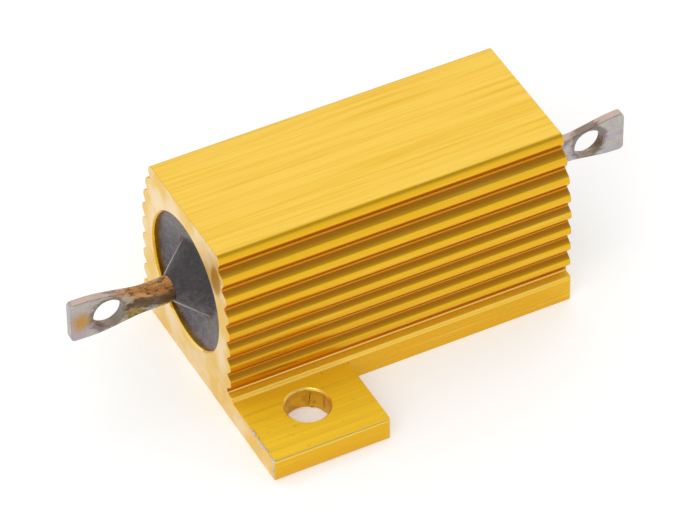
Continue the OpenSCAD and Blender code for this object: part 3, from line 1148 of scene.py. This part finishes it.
    def solid(self, recipe: Recipe, outline: Wire, depth: Wire) -> Wire:
        """Fills a flat outline and extrudes it evenly to both sides.

        Args:
            recipe: The recipe that is being built.
            outline: The closed curve.
            depth: Whole depth of the solid.

        Returns:
            The closed mesh.
        """
        graph = recipe.graph
        face = graph.out("GeometryNodeFillCurve", {"Curve": outline}, mode="NGONS")
        back = graph.joined(0.0, 0.0, graph.times(depth, -0.5))
        low = graph.out("GeometryNodeSetPosition", {0: face, "Offset": back})
        inputs = {"Mesh": low, "Offset": (0.0, 0.0, 1.0), "Offset Scale": depth, "Individual": False}
        raised = graph.out("GeometryNodeExtrudeMesh", inputs, mode="FACES")
        both = recipe.joined(raised, graph.out("GeometryNodeFlipFaces", {"Mesh": low}))
        return graph.out("GeometryNodeMergeByDistance", {"Geometry": both, "Distance": self.weld})

    @staticmethod
    def sink(recipe: Recipe, sides: int, radius: Wire, chamfer: Wire) -> Wire:
        """Returns the cutter of a chamfered mouth: a cone, half in the metal and half outside.

        Args:
            recipe: The recipe that is being built.
            sides: Number of its sides.
            radius: Radius of the hole.
            chamfer: Width of the chamfer.

        Returns:
            The cutter's geometry.
        """
        graph = recipe.graph
        deep = graph.times(chamfer, 2.0)
        inputs = {"Vertices": sides, "Radius Top": graph.plus(radius, deep), "Radius Bottom": radius}
        return graph.out("GeometryNodeMeshCone", {**inputs, "Depth": deep})

    def bore_cutters(self, recipe: Recipe, size: dict[str, Wire]) -> list[Wire]:
        """Returns the cutters of the bore and of the chamfers at its mouths, laid along Y."""
        graph = recipe.graph
        length, radius, chamfer = size["Length"], size["Bore Radius"], size["Bore Chamfer"]
        inputs = {"Vertices": self.drill_sides, "Radius": radius, "Depth": graph.times(length, 2.0)}
        drill = graph.out("GeometryNodeMeshCylinder", inputs)
        parts = [(drill, graph.joined(0.0, 0.0, size["Bore Height"]), math.pi / 2)]
        sink = self.sink(recipe, self.drill_sides, radius, chamfer)
        start = graph.minus(graph.times(length, 0.5), chamfer)
        for side in (1.0, -1.0):
            place = graph.joined(0.0, graph.times(start, side), size["Bore Height"])
            parts.append((sink, place, -side * math.pi / 2))
        return [
            recipe.moved(part, rotation=(turn, 0.0, 0.0), translation=place) for part, place, turn in parts
        ]

    def hole_cutters(self, recipe: Recipe, size: dict[str, Wire]) -> list[Wire]:
        """Returns the cutters of both screw holes with the chamfers of their edges."""
        graph = recipe.graph
        radius, chamfer = size["Hole Radius"], size["Hole Chamfer"]
        inputs = {"Vertices": self.punch_sides, "Radius": radius, "Depth": self.punch_depth}
        drill = graph.out("GeometryNodeMeshCylinder", inputs)
        sink = self.sink(recipe, self.punch_sides, radius, chamfer)
        rise = graph.joined(0.0, 0.0, graph.minus(size["Tab Thickness"], chamfer))
        top = recipe.moved(sink, translation=rise)
        low = graph.joined(0.0, 0.0, chamfer)
        bottom = recipe.moved(sink, rotation=(math.pi, 0.0, 0.0), translation=low)
        cutters = []
        for side in (0.5, -0.5):
            x, y = graph.times(size["Hole X"], side), graph.times(size["Hole Y"], -side)
            place = graph.joined(x, y, 0.0)
            cutters += [recipe.moved(part, translation=place) for part in (drill, top, bottom)]
        return cutters

    def build(self) -> Thing:
        """Makes the housing and ties it to the frame."""
        values = {
            **self.lengths(),
            "Rib Count": self.ribs.count,
            "Fillet Steps": self.fillet_steps,
            "Material": GOLD.material(),
        }
        body = self.recipe().bake("housing_body", self.seed(), values)
        soften(body, self.smooth_angle)
        body.data.materials.append(EDGE.material())
        break_edges(body, self.worn_width).material = 1
        mount(body, Slot.HOUSING, "housing")
        return body


@dataclass
class Burrs:
    """Flecks of bare metal that a saw left along the front edge of the front tab."""

    length: float
    span: float
    thickness: float
    spans: tuple[Span, ...] = ((10.1, 10.9), (11.2, 12.7), (13.3, 13.8))
    corner: Span = (0.35, 1.65)
    spacing: float = 0.12
    size: float = 0.34
    wander: float = 0.06
    shares: tuple[Corner, Corner] = ((0.35, 0.25, 0.25), (1.0, 0.6, 0.6))
    seed_number: int = 7

    def seed(self) -> bpy.types.Mesh:
        """Makes the edge as short straight lines, the last of them down the tab's corner."""
        front = -self.length / 2
        inset = self.size / 2 + self.wander
        side = self.span / 2 - inset
        points = [(x, front, self.thickness) for pair in self.spans for x in pair]
        points += [(side, front, z) for z in self.corner]
        mesh = bpy.data.meshes.new("burr_seed")
        mesh.from_pydata(points, [(i, i + 1) for i in range(0, len(points), 2)], [])
        return mesh

    def recipe(self) -> Recipe:
        """Builds the tree that strews small flakes along the lines."""
        recipe = Recipe("strewn_burrs")
        graph = recipe.graph
        spacing, size = recipe.ask("Spacing"), recipe.ask("Size")
        wander, number = recipe.ask("Wander"), recipe.ask("Seed", Socket.COUNT)
        line = graph.out("GeometryNodeMeshToCurve", {0: recipe.seed})
        dots = graph.out("GeometryNodeCurveToPoints", {"Curve": line, "Length": spacing}, mode="LENGTH")
        off = self.chance(graph, number, (-1.0,) * 3, (1.0,) * 3)
        shift = graph.out("ShaderNodeVectorMath", {0: off, "Scale": wander}, operation="SCALE")
        strewn = graph.out("GeometryNodeSetPosition", {0: dots, "Offset": shift})
        turn = self.chance(graph, number, (0.0,) * 3, (math.tau,) * 3)
        scale = self.chance(graph, number, *self.shares)
        flake = graph.out("GeometryNodeMeshIcoSphere", {"Radius": size, "Subdivisions": 1})
        inputs = {"Points": strewn, "Instance": flake, "Rotation": turn, "Scale": scale}
        recipe.finish(graph.out("GeometryNodeInstanceOnPoints", inputs))
        return recipe

    @staticmethod
    def chance(graph: Graph, number: Wire, low: Corner, high: Corner) -> Wire:
        """Returns a random vector for each point.

        Args:
            graph: Graph that gets the node.
            number: The fixed seed.
            low: Least value on each axis.
            high: Greatest value on each axis.

        Returns:
            The vector socket.
        """
        node = graph.add("FunctionNodeRandomValue", {"Seed": number}, data_type="FLOAT_VECTOR")
        node.inputs[0].default_value = low
        node.inputs[1].default_value = high
        return node.outputs[0]

    def build(self) -> Thing:
        """Makes the burrs and ties them to the frame."""
        values = {
            "Spacing": self.spacing,
            "Size": self.size / 2,
            "Wander": self.wander,
            "Seed": self.seed_number,
            "Material": BARE.material(),
        }
        burrs = self.recipe().bake("edge_burrs", self.seed(), values)
        mount(burrs, Slot.HOUSING)
        return burrs


# ------------------------------------------------------------------ moulding


@dataclass
class Moulding:
    """The dark filling of the bore, with a funnel and a rough central boss at each end."""

    half_length: float
    bore_radius: float
    bore_height: float
    cavity: tuple[float, float, float]
    shank_radius: float = 1.0
    rim_recess: float = 0.45
    valley_depth: float = 1.15
    valley_radius: float = 3.15
    valley_fillet: float = 0.25
    valley_lift: float = 0.12
    cone_steps: int = 40
    bowl_steps: int = 24
    boss_rise: float = 1.25
    boss_land: float = 0.08
    smooth_angle: float = 40.0
    turns: int = 192
    roughness: float = 0.05
    grain: float = 2.4

    def end_profile(self) -> list[tuple[float, float]]:
        """Profile of one end as (radius, distance from the middle), from the boss to the rim."""
        top = self.half_length + self.boss_rise
        valley = self.half_length - self.valley_depth
        rim = self.half_length - self.rim_recess
        start = (self.shank_radius + self.boss_land, top)
        cone = np.linspace(start, (self.valley_radius, valley), self.cone_steps, endpoint=False)
        bowl = np.linspace((self.valley_radius, valley), (self.bore_radius, rim), self.bowl_steps)
        path = np.vstack([[(self.shank_radius, top)], cone, bowl])
        away = np.abs(path[:, 0] - self.valley_radius)
        near = away < self.valley_fillet
        path[near, 1] += (self.valley_lift * (1 - away / self.valley_fillet) ** 2)[near]
        return [tuple(p) for p in path]

    def profile(self) -> list[tuple[float, float]]:
        """Closed profile: one end, the bore wall, the other end and the cavity round the element."""
        radius, face, grip = self.cavity
        rear = self.end_profile()
        front = [(r, -y) for r, y in reversed(rear)]
        inside = [(self.shank_radius, -face), (radius, -face), (radius, -grip), (radius, grip)]
        return rear + front + inside + [(radius, face), (self.shank_radius, face)]

    def seed(self) -> bpy.types.Mesh:
        """Turns the profile round the bore's axis."""
        profile = np.array(self.profile())
        angles = np.linspace(0, 2 * math.pi, self.turns, endpoint=False)
        x = profile[:, 0] * np.cos(angles)[:, None]
        z = profile[:, 0] * np.sin(angles)[:, None] + self.bore_height
        y = np.broadcast_to(profile[:, 1], x.shape)
        rings = np.stack([x, y, z], axis=2)
        mesh = mesh_of(rings.reshape(-1, 3), tube(rings, closed=True, capped=False), "moulding_seed")
        mesh.transform(Matrix.Scale(1 / MM, 4))
        return mesh

    def recipe(self) -> Recipe:
        """Builds the tree that roughens the bosses, where the compound crumbled round the terminal."""
        recipe = Recipe("rough_boss")
        graph = recipe.graph
        depth, cells = recipe.ask("Roughness"), recipe.ask("Grain")
        radius, height = recipe.ask("Boss Radius"), recipe.ask("Axis Height")
        shank, face = recipe.ask("Shank Radius"), recipe.ask("Valley Place")
        place = graph.out("GeometryNodeInputPosition")
        x, y, z = graph.parts(place)
        away = graph.distance(graph.joined(x, 0.0, graph.minus(z, height)), ORIGIN)
        outer = graph.drop(graph.minus(away, radius), -0.5, 0.0)
        inner = graph.ramp(graph.minus(away, shank), 0.03, 0.25)
        outside = graph.math("GREATER_THAN", graph.absolute(y), face)
        inputs = {"Vector": place, "Scale": cells, "Detail": 4.0, "Roughness": 0.6}
        noise = graph.add("ShaderNodeTexNoise", inputs).outputs["Fac"]
        amount = graph.times(graph.minus(noise, 0.5), graph.times(depth, 2.0))
        inputs = {0: graph.out("GeometryNodeInputNormal")}
        inputs["Scale"] = graph.times(amount, graph.times(outer, inner, outside))
        push = graph.out("ShaderNodeVectorMath", inputs, operation="SCALE")
        recipe.finish(graph.out("GeometryNodeSetPosition", {0: recipe.seed, "Offset": push}))
        return recipe

    def build(self) -> Thing:
        """Makes the moulding and ties it to the frame."""
        values = {
            "Roughness": self.roughness,
            "Grain": self.grain,
            "Boss Radius": self.valley_radius,
            "Axis Height": self.bore_height,
            "Shank Radius": self.shank_radius,
            "Valley Place": self.half_length - self.valley_depth - self.roughness,
            "Material": COMPOUND.material(),
        }
        body = self.recipe().bake("moulded_filling", self.seed(), values)
        soften(body, self.smooth_angle)
        mount(body, Slot.MOULDING, "moulding")
        return body


# ------------------------------------------------------------------ terminals


@dataclass
class Terminal:
    """A round shank that is pressed flat, flares into a lug and is pierced by an eye."""

    name: str
    node: str
    side: int
    reach: float
    lift: float
    body_end: float
    root: float
    axis_height: float
    shank_radius: float = 1.0
    boss_rise: float = 1.25
    sag: float = 0.12
    neck: float = 2.3
    flare: float = 5.6
    width: float = 3.45
    thickness: float = 0.75
    edge_radius: float = 0.14
    tip_radius: float = 0.3
    eye_radius: float = 1.2
    eye_inset: float = 2.95
    pressed: float = 0.35
    gap: float = 0.01
    corner_steps: int = 8
    stations: int = 48
    tip_steps: int = 6
    smooth_angle: float = 32.0
    edge_break: float = 0.02
    cover: float = 0.3
    sag_power: float = 0.6
    punch_sides: int = 96
    punch_depth: float = 6.0

    def height(self, place: np.ndarray) -> np.ndarray:
        """Height of the middle line above the bore's axis at places along the terminal."""
        start = self.body_end + self.boss_rise
        share = np.clip((place - start) / (self.body_end + self.reach - start), 0.0, 1.0)
        return self.lift * share - self.sag * np.sin(math.pi * share**self.sag_power)

    def half_sizes(self, place: np.ndarray) -> tuple[np.ndarray, np.ndarray, np.ndarray]:
        """Half thickness, half width and corner radius at places along the terminal."""
        share = (place - self.body_end - self.neck) / self.flare
        flat, wide = smooth_share(share / self.pressed), smooth_share(share)
        start = self.shank_radius - self.gap
        thin = start + (self.thickness / 2 - start) * flat
        corner = np.minimum(start + (self.edge_radius - start) * flat, thin) - 1e-3
        return thin, start + (self.width / 2 - start) * wide, corner

    def rings(self) -> np.ndarray:
        """Rings of points from the cap inside the body out to the tip."""
        tip = self.body_end + self.reach
        mouth = self.body_end + self.boss_rise - self.cover
        straight = np.linspace(mouth, tip - self.tip_radius, self.stations)
        rounding = np.linspace(0, math.pi / 2, self.tip_steps + 1)[1:]
        place = np.concatenate([[self.root], straight, tip - self.tip_radius * (1 - np.sin(rounding))])
        thin, wide, corner = self.half_sizes(np.minimum(place, tip - self.tip_radius))
        wide[-self.tip_steps:] -= self.tip_radius * (1 - np.cos(rounding))
        middle = self.height(np.minimum(place, tip - self.tip_radius)) + self.axis_height
        return np.array([self.ring(*row) for row in zip(place, thin, wide, corner, middle)])

    def ring(self, place: float, thin: float, wide: float, corner: float, middle: float) -> list[Corner]:
        """One ring of a rounded oblong section: x across the thickness, z across the width."""
        points = []
        for number, (sx, sz) in enumerate(((1, 1), (-1, 1), (-1, -1), (1, -1))):
            for step in range(self.corner_steps + 1):
                angle = math.pi / 2 * (number + step / self.corner_steps)
                x = sx * (thin - corner) + corner * math.cos(angle)
                z = sz * (wide - corner) + corner * math.sin(angle)
                points.append((x, self.side * place, z + middle))
        return points

    def eye_cutter(self) -> Thing:
        """The round punch that pierces the lug."""
        place = self.body_end + self.reach - self.eye_inset
        height = self.axis_height + float(self.height(np.array([place]))[0])
        work = bmesh.new()
        turn = Matrix.Rotation(math.pi / 2, 4, "Y")
        spot = Matrix.Translation(Vector((0.0, self.side * place, height)) * MM)
        radius, depth = self.eye_radius * MM, self.punch_depth * MM
        sizes = {"segments": self.punch_sides, "radius1": radius, "radius2": radius, "depth": depth}
        bmesh.ops.create_cone(work, cap_ends=True, matrix=spot @ turn, **sizes)
        mesh = bpy.data.meshes.new(f"{self.name}_punch")
        work.to_mesh(mesh)
        work.free()
        return placed(f"{self.name}_punch", mesh)

    def build(self) -> Thing:
        """Makes the terminal and ties it to the frame."""
        rings = self.rings()
        mesh = mesh_of(rings.reshape(-1, 3), tube(rings, closed=False, capped=True), self.name)
        lug = placed(self.name, mesh)
        punch = self.eye_cutter()
        cut = lug.modifiers.new("eye", "BOOLEAN")
        cut.operation, cut.solver, cut.object = "DIFFERENCE", "EXACT", punch
        pierced = bpy.data.meshes.new_from_object(lug.evaluated_get(bpy.context.evaluated_depsgraph_get()))
        lug.modifiers.remove(cut)
        lug.data = pierced
        bpy.data.objects.remove(punch)
        soften(lug, self.smooth_angle)
        break_edges(lug, self.edge_break)
        lug.data.materials.append(TINNED.material())
        mount(lug, Slot.TERMINAL, self.node)
        return lug


# ------------------------------------------------------------------ hidden element


@dataclass(frozen=True)
class Element:
    """The wound element inside the body, which keeps its CAD solids and gets its finishes."""

    finishes: tuple[tuple[str, Finish], ...] = (
        ("ceramic_core", CERAMIC),
        ("resistance_winding", ALLOY),
        ("front_cap", PLATED),
        ("rear_cap", PLATED),
    )

    def dress(self) -> None:
        """Gives each solid its material."""
        for node, finish in self.finishes:
            thing = frame["nodes"][node]
            thing.data.materials.clear()
            thing.data.materials.append(finish.material())
            LOG.info("%s: CAD solid in %s", node, finish.name)


# ------------------------------------------------------------------ stage, light and camera


@dataclass
class Stage:
    """Pale floor and even surroundings."""

    half_size: float = 3.0
    floor_tone: float = 0.82
    glow: float = 0.3
    zenith: float = 0.86
    horizon: float = 1.04
    sky_edge: Span = (0.1, 0.6)
    shade: float = 0.36
    shaded_side: Corner = (0.37, 0.31, 0.875)
    shade_edge: Span = (0.84, 0.97)
    drop: float = 1e-5

    def floor_material(self) -> bpy.types.Material:
        """A pale floor that the camera, gloss and clear parts see as white, with the shadow kept."""
        material = bpy.data.materials.new("pale_floor")
        graph = Graph.blank(material)
        diffuse = graph.out("ShaderNodeBsdfDiffuse", {"Color": (*(self.floor_tone,) * 3, 1.0)})
        path = graph.add("ShaderNodeLightPath").outputs
        seen = graph.math("MAXIMUM", path["Is Camera Ray"], path["Is Glossy Ray"])
        seen = graph.math("MAXIMUM", seen, path["Is Transmission Ray"])
        glow = graph.out("ShaderNodeEmission", {"Strength": graph.times(seen, self.glow)})
        both = graph.out("ShaderNodeAddShader", {0: diffuse, 1: glow})
        graph.add("ShaderNodeOutputMaterial", {"Surface": both})
        return material

    def build(self) -> None:
        """Makes the floor and the world."""
        half = self.half_size
        corners = [(-half, -half), (half, -half), (half, half), (-half, half)]
        mesh = bpy.data.meshes.new("floor")
        mesh.from_pydata([(x, y, -self.drop) for x, y in corners], [], [(0, 1, 2, 3)])
        floor = placed("floor", mesh)
        floor.data.materials.append(self.floor_material())
        world = bpy.data.worlds.new("surroundings")
        bpy.context.scene.world = world
        graph = Graph.blank(world)
        path = graph.add("ShaderNodeLightPath").outputs["Is Camera Ray"]
        way = graph.add("ShaderNodeTexCoord").outputs["Generated"]
        high = graph.ramp(graph.parts(way)[2], *self.sky_edge)
        sky = graph.spread(high, 0.0, 1.0, self.horizon, self.zenith)
        toward = graph.add("ShaderNodeVectorMath", {0: way, 1: self.shaded_side}, operation="DOT_PRODUCT")
        card = graph.times(graph.ramp(toward.outputs["Value"], *self.shade_edge), self.shade)
        strength = graph.math("MAXIMUM", path, graph.minus(sky, card))
        shell = graph.out("ShaderNodeBackground", {"Color": (1.0,) * 4, "Strength": strength})
        graph.add("ShaderNodeOutputWorld", {"Surface": shell})


@dataclass(frozen=True)
class SoftBox:
    """A square area light that looks at the middle of the object."""

    name: str
    place: Corner
    size: float
    power: float

    def build(self, target: Vector) -> None:
        """Makes the light.

        Args:
            target: Point that it looks at, in metres.
        """
        light = bpy.data.lights.new(self.name, "AREA")
        light.shape = "SQUARE"
        light.size = self.size
        light.energy = self.power
        lamp = bpy.data.objects.new(self.name, light)
        lamp.location = target + Vector(self.place)
        lamp.rotation_euler = (target - lamp.location).to_track_quat("-Z", "Y").to_euler()
        bpy.context.collection.objects.link(lamp)


LIGHTS = (
    SoftBox("overhead_left", (-0.45, 0.23, 0.63), 0.7, 0.5),
    SoftBox("front_right", (0.45, -0.55, 0.50), 0.5, 1.3),
)


@dataclass(frozen=True)
class Viewpoint:
    """Where the camera stands round the middle of the housing, and how long its lens is."""

    azimuth: float = 62.87
    elevation: float = 42.97
    roll: float = -0.468
    distance: float = 400.0
    aside: float = -0.527
    above: float = -2.614
    lens: float = 283.89
    sensor: float = 36.0
    clip: Span = (0.01, 20.0)

    def build(self, target: Vector) -> None:
        """Makes the camera.

        Args:
            target: Middle of the housing in metres.
        """
        a, e, r = (math.radians(v) for v in (self.azimuth, self.elevation, self.roll))
        back = Vector((math.sin(a) * math.cos(e), -math.cos(a) * math.cos(e), math.sin(e)))
        right = Vector((math.cos(a), math.sin(a), 0.0))
        up = back.cross(right)
        data = bpy.data.cameras.new("camera")
        data.lens, data.sensor_width = self.lens, self.sensor
        data.clip_start, data.clip_end = self.clip
        camera = bpy.data.objects.new("camera", data)
        x_axis = right * math.cos(r) + up * math.sin(r)
        y_axis = up * math.cos(r) - right * math.sin(r)
        place = target + (back * self.distance + right * self.aside + up * self.above) * MM
        turn = Matrix((x_axis, y_axis, back)).transposed().to_4x4()
        camera.matrix_world = Matrix.Translation(place) @ turn
        bpy.context.collection.objects.link(camera)
        bpy.context.scene.camera = camera


def main() -> None:
    """Builds the pieces in order, then the stage, the lights and the camera."""
    logging.basicConfig(level=logging.INFO, format="%(name)s: %(message)s")
    bpy.context.scene.view_settings.view_transform = "Standard"
    low, high = (corner / MM for corner in map(Vector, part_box("housing")))
    length, height, span = high.y - low.y, high.z, high.x - low.x
    housing = Housing(length, height, span)
    housing.build()
    Burrs(length, span, housing.tabs.thickness).build()
    cap_low, cap_high = (Vector(c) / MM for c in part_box("rear_cap"))
    cavity = ((cap_high.x - cap_low.x) / 2 + CAP_GAP, cap_high.y, cap_low.y)
    Moulding(length / 2, housing.bore_radius, housing.bore_height, cavity).build()
    front = -Vector(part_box("front_terminal")[0]).y / MM - length / 2
    rear = Vector(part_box("rear_terminal")[1]).y / MM - length / 2
    for name, node, side, reach, lift in (
        ("front_lug", "front_terminal", -1, front, LUG_LIFT),
        ("rear_lug", "rear_terminal", 1, rear, -LUG_LIFT),
    ):
        Terminal(name, node, side, reach, lift, length / 2, cap_high.y, housing.bore_height).build()
    Element().dress()
    Stage().build()
    middle = Vector((0.0, 0.0, MIDDLE_HEIGHT)) * MM
    for light in LIGHTS:
        light.build(middle)
    Viewpoint().build(middle)


if __name__ == "__main__":
    main()
